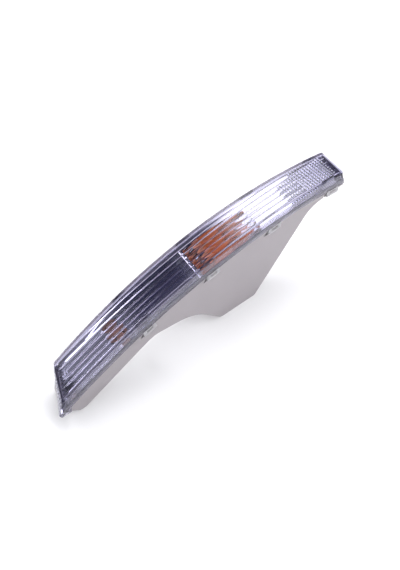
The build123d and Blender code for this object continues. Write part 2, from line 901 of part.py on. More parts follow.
pieces = [
    lens,
    lens_seal,
    housing,
    indicator_reflector,
    marker_reflector,
    reflector_screws,
    mounting_inserts,
    vent_cap,
    indicator_holder,
    indicator_holder_seal,
    indicator_socket_sleeve,
    indicator_spring_contact,
    indicator_terminals,
    indicator_bulb_cap,
    indicator_bulb_insulator,
    indicator_bulb_contact,
    indicator_bulb_glass,
    indicator_bulb_stem,
    indicator_filament,
    marker_holder,
    marker_holder_seal,
    marker_terminals,
    marker_bulb_glass,
    marker_filament,
]

os.makedirs("parts", exist_ok=True)
for piece in pieces:
    export_step(piece(), f"parts/{piece.__name__}.step")
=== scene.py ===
import math

import bmesh
import bpy
import numpy as np
from mathutils import Matrix, Vector


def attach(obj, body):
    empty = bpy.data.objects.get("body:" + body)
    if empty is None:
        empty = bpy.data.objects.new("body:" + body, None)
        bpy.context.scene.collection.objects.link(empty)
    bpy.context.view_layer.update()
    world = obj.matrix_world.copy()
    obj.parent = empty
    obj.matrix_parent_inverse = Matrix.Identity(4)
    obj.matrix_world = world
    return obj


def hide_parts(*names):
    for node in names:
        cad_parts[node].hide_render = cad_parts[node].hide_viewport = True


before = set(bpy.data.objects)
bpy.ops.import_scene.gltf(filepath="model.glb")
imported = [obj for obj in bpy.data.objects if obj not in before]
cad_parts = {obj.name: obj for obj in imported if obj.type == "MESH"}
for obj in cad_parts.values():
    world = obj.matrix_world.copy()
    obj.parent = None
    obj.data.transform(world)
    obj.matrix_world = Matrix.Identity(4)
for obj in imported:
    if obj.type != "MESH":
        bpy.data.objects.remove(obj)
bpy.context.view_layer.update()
scene = bpy.context.scene
scene.view_settings.view_transform = "Standard"

# Camera: a long lens held high over the pointed end, as the photograph was taken.
# Its place and angle come from the lamp's own straight edges.
camera = bpy.data.objects.new("camera", bpy.data.cameras.new("camera"))
camera.data.sensor_width = 36.0
camera.data.lens = 74.65
camera_tilt, camera_heading = math.radians(40.0), math.radians(-40.03)
camera.location = (-0.5419, -0.6521, 1.0634)
camera.rotation_euler = (camera_tilt, 0.0, camera_heading)
scene.collection.objects.link(camera)
scene.camera = camera


# Studio: a dim bluish sky, paler in front and low down, with four soft patches of light for the metal.
# Two area lights fill from above and from the near right. The table is white paper, and camera rays
# see a white sky.
def add_node(tree, kind, **values):
    """New shader node: each value goes to the socket of that name, or else to the node's own setting."""
    made = tree.nodes.new("ShaderNode" + kind)
    for key, value in values.items():
        if key in made.inputs:
            made.inputs[key].default_value = value
        else:
            setattr(made, key, value)
    return made


def feed(tree, socket, value):
    """Links another node's output to a socket, or sets the socket to a plain value."""
    if isinstance(value, bpy.types.NodeSocket):
        tree.links.new(value, socket)
    else:
        socket.default_value = value


def combine(tree, operation, first, second):
    made = add_node(tree, "Math", operation=operation)
    feed(tree, made.inputs[0], first)
    feed(tree, made.inputs[1], second)
    return made.outputs[0]


def mix_colours(tree, share, under, over):
    """Colour that goes from under to over as share goes from 0 to 1."""
    under_socket, over_socket, colour_socket = 6, 7, 2
    made = add_node(tree, "Mix", data_type="RGBA")
    feed(tree, made.inputs["Factor"], share)
    feed(tree, made.inputs[under_socket], under)
    feed(tree, made.inputs[over_socket], over)
    return made.outputs[colour_socket]


world = bpy.data.worlds.new("studio")
world.use_nodes = True
scene.world = world
sky = world.node_tree
sky.nodes.clear()
sky_dir = add_node(sky, "SeparateXYZ")
sky.links.new(add_node(sky, "TexCoord").outputs["Generated"], sky_dir.inputs[0])


def sky_edge(axis, dark_at, lit_at):
    """Soft step across the sky, from 0 at one share of an axis to 1 at another."""
    made = add_node(sky, "MapRange", interpolation_type="SMOOTHSTEP")
    made.inputs["From Min"].default_value = dark_at
    made.inputs["From Max"].default_value = lit_at
    sky.links.new(sky_dir.outputs[axis], made.inputs["Value"])
    return made.outputs["Result"]


def soft_patch(under, colour, **edges):
    """Patch of light between soft edges, laid over the sky under it."""
    lit = 1.0
    for axis, steps in edges.items():
        for dark_at, lit_at in steps:
            lit = combine(sky, "MULTIPLY", lit, sky_edge(axis, dark_at, lit_at))
    return mix_colours(sky, lit, under, (*colour, 1.0))


white = (1.0, 1.0, 1.0, 1.0)
dim_blue, pale_grey = (0.05, 0.05, 0.09, 1.0), (0.20, 0.20, 0.22, 1.0)
sky_front = combine(sky, "MULTIPLY", sky_edge("Y", -0.20, -0.50), sky_edge("Z", 0.74, 0.58))
sky_pale = combine(sky, "MAXIMUM", sky_front, sky_edge("Z", 0.36, 0.12))
dim_sky = mix_colours(sky, sky_pale, dim_blue, pale_grey)
right_band = soft_patch(dim_sky, (3.1, 3.1, 3.15), X=[(0.16, 0.30), (0.64, 0.48)], Z=[(0.30, 0.50)])
left_glow = soft_patch(right_band, (0.30, 0.30, 0.33), X=[(-0.18, -0.34), (-0.85, -0.65)], Z=[(0.40, 0.55)])
left_box = soft_patch(
    left_glow,
    (1.6, 1.6, 1.7),
    X=[(-0.24, -0.36), (-0.75, -0.60)],
    Y=[(-0.36, -0.44), (-0.64, -0.54)],
    Z=[(0.40, 0.55)],
)
far_window = soft_patch(
    left_box,
    (8.0, 8.0, 8.2),
    X=[(0.02, -0.10), (-0.58, -0.46)],
    Y=[(0.60, 0.72)],
    Z=[(0.26, 0.36), (0.70, 0.58)],
)
sky_seen = mix_colours(sky, add_node(sky, "LightPath").outputs["Is Camera Ray"], far_window, white)
sky_light = add_node(sky, "Background")
sky.links.new(sky_seen, sky_light.inputs["Color"])
sky.links.new(sky_light.outputs[0], add_node(sky, "OutputWorld").inputs["Surface"])

lamp_middle = Vector((0.05, 0.0, 0.08))
for name, place, width, power in (
    ("top_light", (0.60, 0.40, 1.8), 1.1, 21.0),
    ("side_light", (0.80, -0.70, 0.70), 0.7, 4.5),
):
    light = bpy.data.objects.new(name, bpy.data.lights.new(name, "AREA"))
    light.data.shape = "RECTANGLE"
    light.data.size = light.data.size_y = width
    light.data.energy = power
    light.location = place
    light.rotation_euler = (lamp_middle - light.location).to_track_quat("-Z", "Y").to_euler()
    light.visible_camera = False
    light.visible_glossy = False
    light.visible_transmission = False
    scene.collection.objects.link(light)

table_reach = 3.0
table_corners = [(table_reach * x, table_reach * y, 0.0) for x, y in ((-1, -1), (1, -1), (1, 1), (-1, 1))]
floor_mesh = bpy.data.meshes.new("floor")
floor_mesh.from_pydata(table_corners, [], [(0, 1, 2, 3)])
floor = bpy.data.objects.new("floor", floor_mesh)
scene.collection.objects.link(floor)
paper = bpy.data.materials.new("white_paper")
paper.use_nodes = True
paper_tree = paper.node_tree
paper_tree.nodes.clear()
white_share = 0.26
paper_rays = add_node(paper_tree, "LightPath").outputs
paper_seen = combine(paper_tree, "MAXIMUM", paper_rays["Is Camera Ray"], paper_rays["Is Glossy Ray"])
paper_seen = combine(paper_tree, "MAXIMUM", paper_seen, paper_rays["Is Transmission Ray"])
paper_body = add_node(paper_tree, "BsdfDiffuse", Color=(0.93, 0.93, 0.94, 1.0))
paper_glow = add_node(paper_tree, "Emission", Color=white, Strength=1.0)
paper_mix = add_node(paper_tree, "MixShader")
paper_tree.links.new(combine(paper_tree, "MULTIPLY", paper_seen, white_share), paper_mix.inputs[0])
paper_tree.links.new(paper_body.outputs[0], paper_mix.inputs[1])
paper_tree.links.new(paper_glow.outputs[0], paper_mix.inputs[2])
paper_tree.links.new(paper_mix.outputs[0], add_node(paper_tree, "OutputMaterial").inputs["Surface"])
floor_mesh.materials.append(paper)


# Housing: one deep tub injection moulded in mid grey plastic, closed on top by the lens.
# Its skin carries the fine spark-eroded grain of the mould.
def surface(name, colour, spread, rough, grain, height, stretch=(1, 1, 1), metallic=0.0):
    """Material whose colour drifts a little, and whose roughness and skin follow a fine grain."""
    cloud_grain = 25.0
    made = bpy.data.materials.new(name)
    made.use_nodes = True
    tree = made.node_tree
    shader = tree.nodes["Principled BSDF"]
    shader.inputs["Metallic"].default_value = metallic
    place = add_node(tree, "Mapping", Scale=stretch)
    tree.links.new(add_node(tree, "TexCoord").outputs["Object"], place.inputs["Vector"])
    cloud = add_node(tree, "TexNoise", Scale=cloud_grain, Detail=4.0)
    fine = add_node(tree, "TexNoise", Scale=grain, Detail=3.0)
    tree.links.new(place.outputs[0], cloud.inputs["Vector"])
    tree.links.new(place.outputs[0], fine.inputs["Vector"])
    darker = (*[c * (1 - spread) for c in colour], 1.0)
    lighter = (*[min(1.0, c * (1 + spread)) for c in colour], 1.0)
    tree.links.new(mix_colours(tree, cloud.outputs["Fac"], darker, lighter), shader.inputs["Base Color"])
    sheen = add_node(tree, "MapRange")
    sheen.inputs["To Min"].default_value, sheen.inputs["To Max"].default_value = rough
    tree.links.new(fine.outputs["Fac"], sheen.inputs["Value"])
    tree.links.new(sheen.outputs["Result"], shader.inputs["Roughness"])
    skin = add_node(tree, "Bump", Strength=1.0, Distance=height)
    tree.links.new(fine.outputs["Fac"], skin.inputs["Height"])
    tree.links.new(skin.outputs["Normal"], shader.inputs["Normal"])
    return made


def dress(node, material):
    """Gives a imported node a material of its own."""
    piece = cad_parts[node]
    piece.data.materials.clear()
    piece.data.materials.append(material)
    return piece


grey_plastic = surface(
    "grey_plastic", (0.419, 0.390, 0.406), spread=0.05, rough=(0.48, 0.66), grain=1800.0, height=0.00006
)
dress("housing", grey_plastic)


# Indicator reflector: a tray under the lens with a wide bowl round the bulb, steeper towards the square end.
# It is a plastic moulding with a bright metallised skin, screwed in from behind. Its end wall is painted
# light, a paler matt colour that glows in place of light that doesn't get in through the lens here.
half_width = 0.0237
arch_x, arch_top, arch_radius = 0.1363, 0.1243, 0.6955
bow_x, bow_radius = -0.011, 3.226
near_skirt = 0.019
flute_pitch, flute_total = 0.0067, 6
flute_reach = flute_total * flute_pitch / 2
# Each end of the lamp: its tip at the foot of the near skirt, then its yaw and lean in degrees.
ends = {"left": (-0.2062, 23.5, 8.0), "right": (0.2038, 5.3, -15.5)}
# A place too far off to limit a line, a gap that counts as none, and the least gap between bunched lines.
free, weld, bunched = 1.0, 1e-6, 1e-5


def arch_z(x, depth):
    return arch_top - arch_radius + np.sqrt((arch_radius - depth) ** 2 - (x - arch_x) ** 2)


def far_edge(x):
    return half_width - bow_radius + np.sqrt(bow_radius ** 2 - (x - bow_x) ** 2)


def flat(depth):
    return lambda x, y: depth


def flutes(y, depth, rise):
    """Depth of a surface whose lengthwise flutes sink by rise in the middle of each."""
    half = flute_pitch / 2
    radius = (half ** 2 + rise ** 2) / (2 * rise)
    along = y + flute_reach
    off = np.mod(along, flute_pitch) - half
    sink = np.sqrt(radius ** 2 - off ** 2) - (radius - rise)
    return depth + np.where((along >= 0) & (along <= 2 * flute_reach), sink, 0.0)


def rail_y(x, near_y, far_gap):
    """A lengthwise line keeps to near_y until the bowed far side comes within far_gap."""
    return np.minimum(near_y, far_edge(x) - far_gap)


def end_of(side, inset, near_y, far_gap, depth):
    """Where a lengthwise line meets the leaning end of the lamp, moved in by inset."""
    tries = 14
    tip, yaw, lean = ends[side]
    yaw, lean = math.radians(yaw), math.radians(lean)
    normal = np.cross((math.sin(yaw), math.cos(yaw), 0), (math.sin(lean), 0, math.cos(lean)))
    normal = normal / np.linalg.norm(normal)
    if normal[0] * tip > 0:
        normal = -normal
    x = tip
    for i in range(tries):
        y = rail_y(x, near_y, far_gap)
        drop = arch_z(x, depth(x, y)) - arch_z(tip, near_skirt)
        x = tip + (inset - normal[1] * (y + half_width) - normal[2] * drop) / normal[0]
    return float(x)


def make_piece(name, points, faces, material, body, nodes):
    """Welds a mesh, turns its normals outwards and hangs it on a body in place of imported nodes."""
    crease = math.radians(28.0)
    mesh = bpy.data.meshes.new(name)
    mesh.from_pydata([tuple(p) for p in points], [], faces)
    work = bmesh.new()
    work.from_mesh(mesh)
    bmesh.ops.remove_doubles(work, verts=work.verts, dist=weld)
    bmesh.ops.dissolve_degenerate(work, edges=work.edges, dist=weld)
    bmesh.ops.recalc_face_normals(work, faces=work.faces)
    work.to_mesh(mesh)
    work.free()
    mesh.shade_smooth()
    mesh.set_sharp_from_angle(angle=crease)
    mesh.materials.append(material)
    piece = bpy.data.objects.new(name, mesh)
    scene.collection.objects.link(piece)
    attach(piece, body)
    if nodes:
        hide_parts(*nodes)
    return piece


def crossing(level, inner, outer):
    """Point between inner and outer where level turns from below zero to above it."""
    halvings = 40
    for i in range(halvings):
        middle = (inner + outer) / 2
        if level(middle) < 0:
            inner = middle
        else:
            outer = middle
    return inner


near_flange, far_flange, rim_inset, wall_inset = 0.0164, 0.0084, 0.0051, 0.0092
near_wall, clear_of_wall = wall_inset - half_width, 0.0002
slope_top, slope_knee, knee_share = 0.0008, 0.0022, 0.4
tray_wall, tray_edge, tray_corner = 0.0014, 0.0005, math.radians(50.0)
tray_flute_steps = 10
mirror_skin = surface(
    "mirror_skin", (0.86, 0.865, 0.885), spread=0.02, rough=(0.03, 0.09), grain=400.0, height=0.000004,
    metallic=1.0,
)


def tray(name, floor_depth, sink, cup, cup_span, hole, start, stop, counts, floor_limit):
    """Reflector: rim flange, walls and fluted floor, with a cup let into the floor and a hole in the cup."""

    def floor_at(x, y):
        return floor_depth + sink(y)

    def knee(flange):
        return flange + knee_share * (floor_depth - flange)

    steps = np.arange(-flute_reach, flute_reach, flute_pitch / tray_flute_steps)
    inside = [y for y in steps if near_wall + clear_of_wall < y]
    columns = [
        (rim_inset - half_width, -free, flat(near_flange), rim_inset, "rim"),
        (rim_inset + slope_top - half_width, -free, flat(near_flange), wall_inset, "wall"),
        (rim_inset + slope_knee - half_width, -free, flat(knee(near_flange)), wall_inset, "wall"),
        (near_wall, -free, floor_at, wall_inset, "floor"),
    ]
    for i, y in enumerate(inside):
        columns.append((y, wall_inset + (len(inside) - i) * bunched, floor_at, wall_inset, "floor"))
    columns += [
        (free, wall_inset, floor_at, wall_inset, "floor"),
        (free, wall_inset, flat(knee(far_flange)), wall_inset, "wall"),
        (free, wall_inset, flat(far_flange), wall_inset, "wall"),
        (free, rim_inset, flat(far_flange), rim_inset, "rim"),
    ]
    points = []
    rows = sum(counts) + 1
    for near_y, far_gap, depth, inset, kind in columns:
        first = start(inset, near_y, far_gap, depth)
        last = stop(inset, near_y, far_gap, depth)
        middle_y = float(rail_y(cup_span[1], near_y, far_gap))
        cup_y = min(max(middle_y, near_wall), -near_wall)

        def over(x):
            y = float(rail_y(x, cup_y, -free))
            return cup(x, y) - max(float(arch_z(x, floor_at(x, y))), floor_limit(x))

        left, right = hole(cup_y)
        if over(left) < 0:
            knots = [crossing(over, left, cup_span[0]), left, right, crossing(over, right, cup_span[2])]
        else:
            knots = [cup_span[1]] * 4
        knots = [min(max(k, first), last) for k in knots]
        stations = [first, *knots, last]
        xs = [first]
        for i, n in enumerate(counts):
            xs += list(np.linspace(stations[i], stations[i + 1], n + 1)[1:])
        for r, x in enumerate(xs):
            y = float(rail_y(x, near_y, far_gap))
            z = float(arch_z(x, depth(x, y)))
            if kind != "rim":
                z = max(z, floor_limit(x))
            if kind == "floor" and counts[0] < r < rows - 1 - counts[4] and knots[0] < knots[3]:
                z = min(z, cup(x, y))
            points.append((x, y, z))
    gap_row = counts[0] + counts[1]
    count = len(columns)
    faces = []
    for c in range(count - 1):
        on_floor = columns[c][4] == columns[c + 1][4] == "floor"
        for r in range(rows - 1):
            if on_floor and r == gap_row:
                continue
            a = c * rows + r
            faces.append((a, a + rows, a + rows + 1, a + 1))
    for r in (0, rows - 1):
        loop = [c * rows + r for c in range(1, count - 1)]
        strip = [r, rows + r, (count - 2) * rows + r, (count - 1) * rows + r]
        faces.append(loop if r == 0 else loop[::-1])
        faces.append(strip[::-1] if r == 0 else strip)
    replaced = [name.replace("_skin", "")]
    piece = make_piece(name, points, faces, mirror_skin, "lamp", replaced)
    wall = piece.modifiers.new("wall", "SOLIDIFY")
    wall.thickness = tray_wall
    up = sum(p.normal.z * p.area for p in piece.data.polygons)
    wall.offset = -1.0 if up > 0 else 1.0
    edge = piece.modifiers.new("edge", "BEVEL")
    edge.width = tray_edge
    edge.segments = 3
    edge.limit_method = "ANGLE"
    edge.angle_limit = tray_corner
    return piece


def painted_glow(material, colour, strength):
    """Painted light: a glow that stands in for light which doesn't get in through the lens."""
    shader = material.node_tree.nodes["Principled BSDF"]
    shader.inputs["Emission Color"].default_value = (*colour, 1.0)
    shader.inputs["Emission Strength"].default_value = strength


bulb_x, port_z = 0.04525, 0.042
bowl_focus, steep_focus, bowl_vertex = 0.0152, 0.0070, 0.0485
bowl_hole, bowl_reach, bowl_flute = 0.0149, 0.09, 0.0003
divider_rim, divider_wall = -0.0087, -0.0069
sliver = 1e-8


def round_sink(y):
    return flutes(y, 0.0, bowl_flute)


def bowl_z(x, y):
    focus = steep_focus if x > bulb_x else bowl_focus
    return bowl_vertex + (x - bulb_x) ** 2 / (4 * focus) + y ** 2 / (4 * bowl_focus) - float(round_sink(y))


def bowl_hole_span(y):
    reach = math.sqrt(max(bowl_hole ** 2 - y ** 2, sliver))
    return bulb_x - reach, bulb_x + reach


indicator_tray = tray(
    "indicator_reflector_skin",
    floor_depth=0.021,
    sink=round_sink,
    cup=bowl_z,
    cup_span=(bulb_x - bowl_reach, bulb_x, bulb_x + bowl_reach),
    hole=bowl_hole_span,
    start=lambda inset, *rail: divider_rim if inset == rim_inset else divider_wall,
    stop=lambda inset, *rail: end_of("right", inset, *rail),
    counts=(4, 40, 1, 40, 36),
    floor_limit=lambda x: 0.0,
)
# Painted light for the square end wall: a paler matt skin with a glow.
painted_light_end_skin = surface(
    "painted_light_end_skin", (0.80, 0.80, 0.86), spread=0.03, rough=(0.4, 0.5), grain=400.0, height=0.000004
)
painted_glow(painted_light_end_skin, (0.72, 0.71, 0.80), 0.5)
indicator_tray.data.materials.append(painted_light_end_skin)
# The end wall's faces take the painted light skin.
end_wall_from, end_wall_facing = 0.17, 0.7
for face in indicator_tray.data.polygons:
    if face.center.x > end_wall_from and abs(face.normal.x) > end_wall_facing:
        face.material_index = 1

# Marker reflector: a tray that ends over the housing's rising heel, with stepped flutes and a small funnel
# round the wedge bulb, which leans with the sloping back wall. Metallised and screwed in like the other one.
marker_x = -0.100
heel_reach, heel_half, heel_end, heel_rise, heel_gap = 0.1758, 0.00375, -0.17955, 37.8, 0.0057
crest_x, crest_z = -0.0775, 0.0461
back_slope = crest_z / (crest_x + heel_reach - heel_half)
marker_z = (marker_x + heel_reach - heel_half) * back_slope
marker_axis = Vector((-back_slope, 0.0, 1.0)).normalized()
funnel_foot, funnel_lip, funnel_hole, funnel_mouth = 0.00865, 0.01565, 0.0063, 0.013
funnel_x = marker_x + marker_axis.x * funnel_foot
funnel_reach, funnel_below, funnel_above = 0.03, 0.02, 0.06
step_rise, step_climb, floor_dish, floor_half = 0.00043, 0.7, 0.0012, 0.0145
marker_divider_rim, marker_divider_wall = -0.0093, -0.0111


def funnel_z(x, y):
    """Height of the funnel's wall over a point in plan, found on its leaning axis."""
    halvings = 36
    spread = (funnel_mouth - funnel_hole) / (funnel_lip - funnel_foot)
    low, high = marker_z - funnel_below, marker_z + funnel_above
    for i in range(halvings):
        z = (low + high) / 2
        away = Vector((x - marker_x, y, z - marker_z))
        rise = away.dot(marker_axis)
        radius = (away - marker_axis * rise).length
        if radius > funnel_hole + spread * (rise - funnel_foot):
            low = z
        else:
            high = z
    return high


def funnel_hole_span(y):
    reach = funnel_hole * marker_axis.z * math.sqrt(max(1 - (y / funnel_hole) ** 2, sliver))
    return funnel_x - reach, funnel_x + reach


def step_sink(y):
    """Stepped flutes: a long climb and a short fall towards the far side, which catches the light."""
    share = np.mod((y + flute_reach) / flute_pitch, 1.0)
    step = np.where(share < step_climb, 1 - share / step_climb, (share - step_climb) / (1 - step_climb))
    return step_rise * step - floor_dish * (y / floor_half) ** 2


def over_heel(x):
    """Height that keeps the tray's floor clear of the heel."""
    return (heel_end - x) * math.tan(math.radians(heel_rise)) + heel_gap


marker_tray = tray(
    "marker_reflector_skin",
    floor_depth=0.030,
    sink=step_sink,
    cup=funnel_z,
    cup_span=(funnel_x - funnel_reach, funnel_x, funnel_x + funnel_reach),
    hole=funnel_hole_span,
    start=lambda inset, *rail: end_of("left", inset, *rail),
    stop=lambda inset, *rail: marker_divider_rim if inset == rim_inset else marker_divider_wall,
    counts=(40, 8, 1, 8, 44),
    floor_limit=over_heel,
)
step_crease = math.radians(12.0)
marker_tray.data.set_sharp_from_angle(angle=step_crease)

# Reflector screws: small steel screws that hold the two reflectors from behind.
# Their threads are rolled, and the whole screw is zinc plated.
zinc_plate = surface(
    "zinc_plate", (0.62, 0.63, 0.66), spread=0.06, rough=(0.28, 0.5), grain=900.0, height=0.00001,
    metallic=1.0,
)
dress("reflector_screws", zinc_plate)

# Mounting inserts: threaded sleeves that take the bolts from the car's body, pressed into the base rim.
# They are turned from brass bar, so fine rings run round them.
turned_rings = (1, 1, 40)
turned_brass = surface(
    "turned_brass", (0.72, 0.52, 0.22), spread=0.06, rough=(0.25, 0.42), grain=60.0, height=0.00003,
    stretch=turned_rings, metallic=1.0,
)
dress("mounting_inserts", turned_brass)

# Vent cap: a small moulded cap of black rubber, pushed over the breather on the back wall.
# It lets the lamp breathe and keeps spray out.
black_rubber = surface(
    "black_rubber", (0.022, 0.022, 0.023), spread=0.15, rough=(0.72, 0.9), grain=1500.0, height=0.00005
)
dress("vent_cap", black_rubber)

# Indicator holder: amber-brown glass-filled nylon that twists into the port on three lugs, with a rubber ring
# under its flange, a plug socket below and a sheet metal sleeve that grips the bulb's cap. Its crown, inside
# the lamp, is painted light: a lighter copy of the nylon that glows, in place of light that doesn't get in.
brown_nylon = surface(
    "brown_nylon", (0.30, 0.14, 0.07), spread=0.12, rough=(0.5, 0.72), grain=1300.0, height=0.00006
)
# Painted light: a lighter copy of the brown nylon, with a glow, for the crown inside the lamp.
painted_lit_nylon = surface(
    "painted_lit_nylon", (0.52, 0.24, 0.12), spread=0.12, rough=(0.5, 0.72), grain=1300.0, height=0.00006
)
painted_glow(painted_lit_nylon, (0.75, 0.34, 0.24), 0.85)
holder = dress("indicator_holder", brown_nylon)
holder.data.materials.append(painted_lit_nylon)
# Faces above this height, the crown, take the painted light copy.
crown_z = 0.0455
for face in holder.data.polygons:
    if (holder.matrix_world @ face.center).z > crown_z:
        face.material_index = 1
dress("indicator_holder_seal", black_rubber)
tinned_brass = surface(
    "tinned_brass", (0.74, 0.69, 0.58), spread=0.05, rough=(0.25, 0.45), grain=1100.0, height=0.000008,
    metallic=1.0,
)
for node in ("indicator_socket_sleeve", "indicator_spring_contact", "indicator_terminals"):
    dress(node, tinned_brass)

# Indicator bulb: amber-lacquered glass pear on a nickel-plated bayonet cap, with a coiled filament
# held over a glass stem. The cap's foot is black glass with one soldered contact.
nickel_cap = surface(
    "nickel_cap", (0.70, 0.68, 0.63), spread=0.05, rough=(0.22, 0.38), grain=700.0, height=0.00001,
    metallic=1.0,
)
black_glass = surface(
    "black_glass", (0.012, 0.012, 0.014), spread=0.1, rough=(0.12, 0.22), grain=500.0, height=0.00001
)
solder = surface(
    "solder", (0.55, 0.55, 0.56), spread=0.08, rough=(0.3, 0.5), grain=900.0, height=0.00003, metallic=1.0
)
dress("indicator_bulb_cap", nickel_cap)
dress("indicator_bulb_insulator", black_glass)
dress("indicator_bulb_contact", solder)


def glass(name, colour, spread, rough, grain, height, index, clear=1.0):
    """See-through version of surface, for glass and clear plastic."""
    made = surface(name, colour, spread, rough, grain, height)
    shader = made.node_tree.nodes["Principled BSDF"]
    shader.inputs["Transmission Weight"].default_value = clear
    shader.inputs["IOR"].default_value = index
    return made


def quarter_turn(count):
    return np.linspace(0.0, math.pi / 2, count)


def lathe(profile, steps):
    """Points and faces of a profile of (radius, height) turned about the local Z axis."""
    points = []
    for radius, height in profile:
        for i in range(steps):
            turn = 2 * math.pi * i / steps
            points.append((radius * math.cos(turn), radius * math.sin(turn), height))
    faces = []
    for p in range(len(profile) - 1):
        for i in range(steps):
            j = (i + 1) % steps
            faces.append((p * steps + i, p * steps + j, (p + 1) * steps + j, (p + 1) * steps + i))
    return points, faces


def blown(outline, wall, place, steps):
    """Hollow glass: the outline turned as its outside, and moved in by the wall as its inside."""
    points, faces = [], []
    for inset in (0.0, wall):
        shell, quads = lathe(outline(inset), steps)
        first = len(points)
        points += [place(p) for p in shell]
        faces += [tuple(first + i for i in (q if inset == 0.0 else q[::-1])) for q in quads]
    return points, faces


pear_radius, pear_neck, pear_foot, pear_waist, pear_middle = 0.0127, 0.0068, 0.006, 0.0145, 0.030
pear_wall, pear_sides = 0.0008, 64
outline_steps = 14


def pear(inset):
    """Outline of the bulb from its foot up to the crown."""
    radius, neck, foot = pear_radius - inset, pear_neck - inset, pear_foot + inset
    outline = [(0.0, foot), (neck, foot)]
    for t in np.linspace(0.0, 1.0, outline_steps):
        swell = neck + (radius - neck) * t * t * (3 - 2 * t)
        outline.append((swell, pear_waist + (pear_middle - pear_waist) * t))
    for t in quarter_turn(outline_steps)[1:]:
        outline.append((radius * math.cos(t), pear_middle + radius * math.sin(t)))
    return outline


def on_port(point):
    x, y, z = point
    return x + bulb_x, y, z + port_z


amber = glass(
    "amber_lacquer", (0.86, 0.34, 0.08), spread=0.08, rough=(0.04, 0.14), grain=300.0, height=0.00002,
    index=1.45, clear=0.55,
)
# Painted light: a faint glow on the amber lacquer, in place of light that doesn't get in through the lens.
painted_glow(amber, (0.90, 0.38, 0.17), 0.17)
pear_points, pear_faces = blown(pear, pear_wall, on_port, pear_sides)
make_piece(
    "indicator_bulb_pear", pear_points, pear_faces, amber,
    "indicator_unit", ["indicator_bulb_glass"],
)
stem_glass = glass(
    "stem_glass", (0.93, 0.95, 0.95), spread=0.02, rough=(0.0, 0.05), grain=300.0, height=0.00001, index=1.5
)
dress("indicator_bulb_stem", stem_glass)
tungsten = surface(
    "tungsten", (0.30, 0.30, 0.32), spread=0.1, rough=(0.35, 0.55), grain=2000.0, height=0.00001, metallic=1.0
)


def filament(name, span, height, root, turns, to_row, body, node):
    """Coil between two bent lead wires, drawn as one round wire."""
    leg_share, coil_radius, wire_radius, turn_points = 0.35, 0.00045, 0.00013, 8
    legs = leg_share * span
    path = [(-legs, 0, root), (-legs, 0, (root + height) / 2), (-legs, 0, height)]
    for i in range(turns * turn_points + 1):
        turn = 2 * math.pi * i / turn_points
        along = -legs + 2 * legs * i / (turns * turn_points)
        coil_z = height + coil_radius * math.cos(turn) - coil_radius
        path.append((along, coil_radius * math.sin(turn), coil_z))
    path += [(legs, 0, height), (legs, 0, (root + height) / 2), (legs, 0, root)]
    line = bpy.data.curves.new(name, "CURVE")
    line.dimensions = "3D"
    line.bevel_depth = wire_radius
    line.bevel_resolution = 2
    spline = line.splines.new("POLY")
    spline.points.add(len(path) - 1)
    for point, p in zip(spline.points, path):
        point.co = (*(to_row @ Vector(p)), 1.0)
    line.materials.append(tungsten)
    piece = bpy.data.objects.new(name, line)
    scene.collection.objects.link(piece)
    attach(piece, body)
    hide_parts(node)


indicator_row = Matrix.Translation((bulb_x, 0.0, port_z))
filament(
    "indicator_coil", span=0.006, height=0.026, root=0.0088, turns=14,
    to_row=indicator_row, body="indicator_unit", node="indicator_filament",
)

# Marker holder: a smaller black nylon moulding that twists into the sloping back wall, with a rubber ring
# under its flange and two tinned strips that touch the bulb and end as plug blades.
black_nylon = surface(
    "black_nylon", (0.028, 0.028, 0.030), spread=0.12, rough=(0.5, 0.72), grain=1300.0, height=0.00006
)
dress("marker_holder", black_nylon)
dress("marker_holder_seal", black_rubber)
dress("marker_terminals", tinned_brass)

# Marker bulb: a small capless bulb in brownish amber lacquer, a round-topped glass tube on a flat glass wedge
# that is pushed in between the holder's strips, with its filament inside.
marker_row = Matrix((
    (0.0, -marker_axis.z, marker_axis.x, marker_x),
    (1.0, 0.0, 0.0, 0.0),
    (0.0, marker_axis.x, marker_axis.z, marker_z),
    (0.0, 0.0, 0.0, 1.0),
))
tube_radius, tube_foot, tube_top = 0.005, 0.0069, 0.025
tube_wall, tube_sides = 0.0006, 48
foot_share, foot_rise = 0.8, 0.25


def capsule(inset):
    """Outline of a round-topped tube."""
    radius, foot, top = tube_radius - inset, tube_foot + inset, tube_top - inset
    outline = [(0.0, foot), (radius * foot_share, foot), (radius, foot + radius * foot_rise)]
    for t in quarter_turn(outline_steps):
        outline.append((radius * math.cos(t), top - radius + radius * math.sin(t)))
    return outline


def on_back_wall(point):
    return tuple(marker_row @ Vector(point))


wedge_points, wedge_faces = blown(capsule, tube_wall, on_back_wall, tube_sides)
# Each level of the wedge: its height, half width and half thickness.
wedge_levels = ((-0.0055, 0.0046, 0.0010), (-0.0045, 0.0048, 0.0012), (0.0070, 0.0048, 0.0012))
wedge_corners = ((1, 1), (-1, 1), (-1, -1), (1, -1))
corner_total = len(wedge_corners)
wedge_low = len(wedge_points)
wedge_top = wedge_low + (len(wedge_levels) - 1) * corner_total
for z, half, thick in wedge_levels:
    wedge_points += [on_back_wall((x * half, y * thick, z)) for x, y in wedge_corners]
for level in range(wedge_low, wedge_top, corner_total):
    for i in range(corner_total):
        j = (i + 1) % corner_total
        wedge_faces.append((level + i, level + j, level + corner_total + j, level + corner_total + i))
wedge_faces.append(tuple(range(wedge_low + corner_total - 1, wedge_low - 1, -1)))
wedge_faces.append(tuple(range(wedge_top, wedge_top + corner_total)))
brown_amber = glass(
    "brown_amber_lacquer", (0.50, 0.25, 0.17), spread=0.10, rough=(0.08, 0.2), grain=300.0, height=0.00002,
    index=1.45, clear=0.4,
)
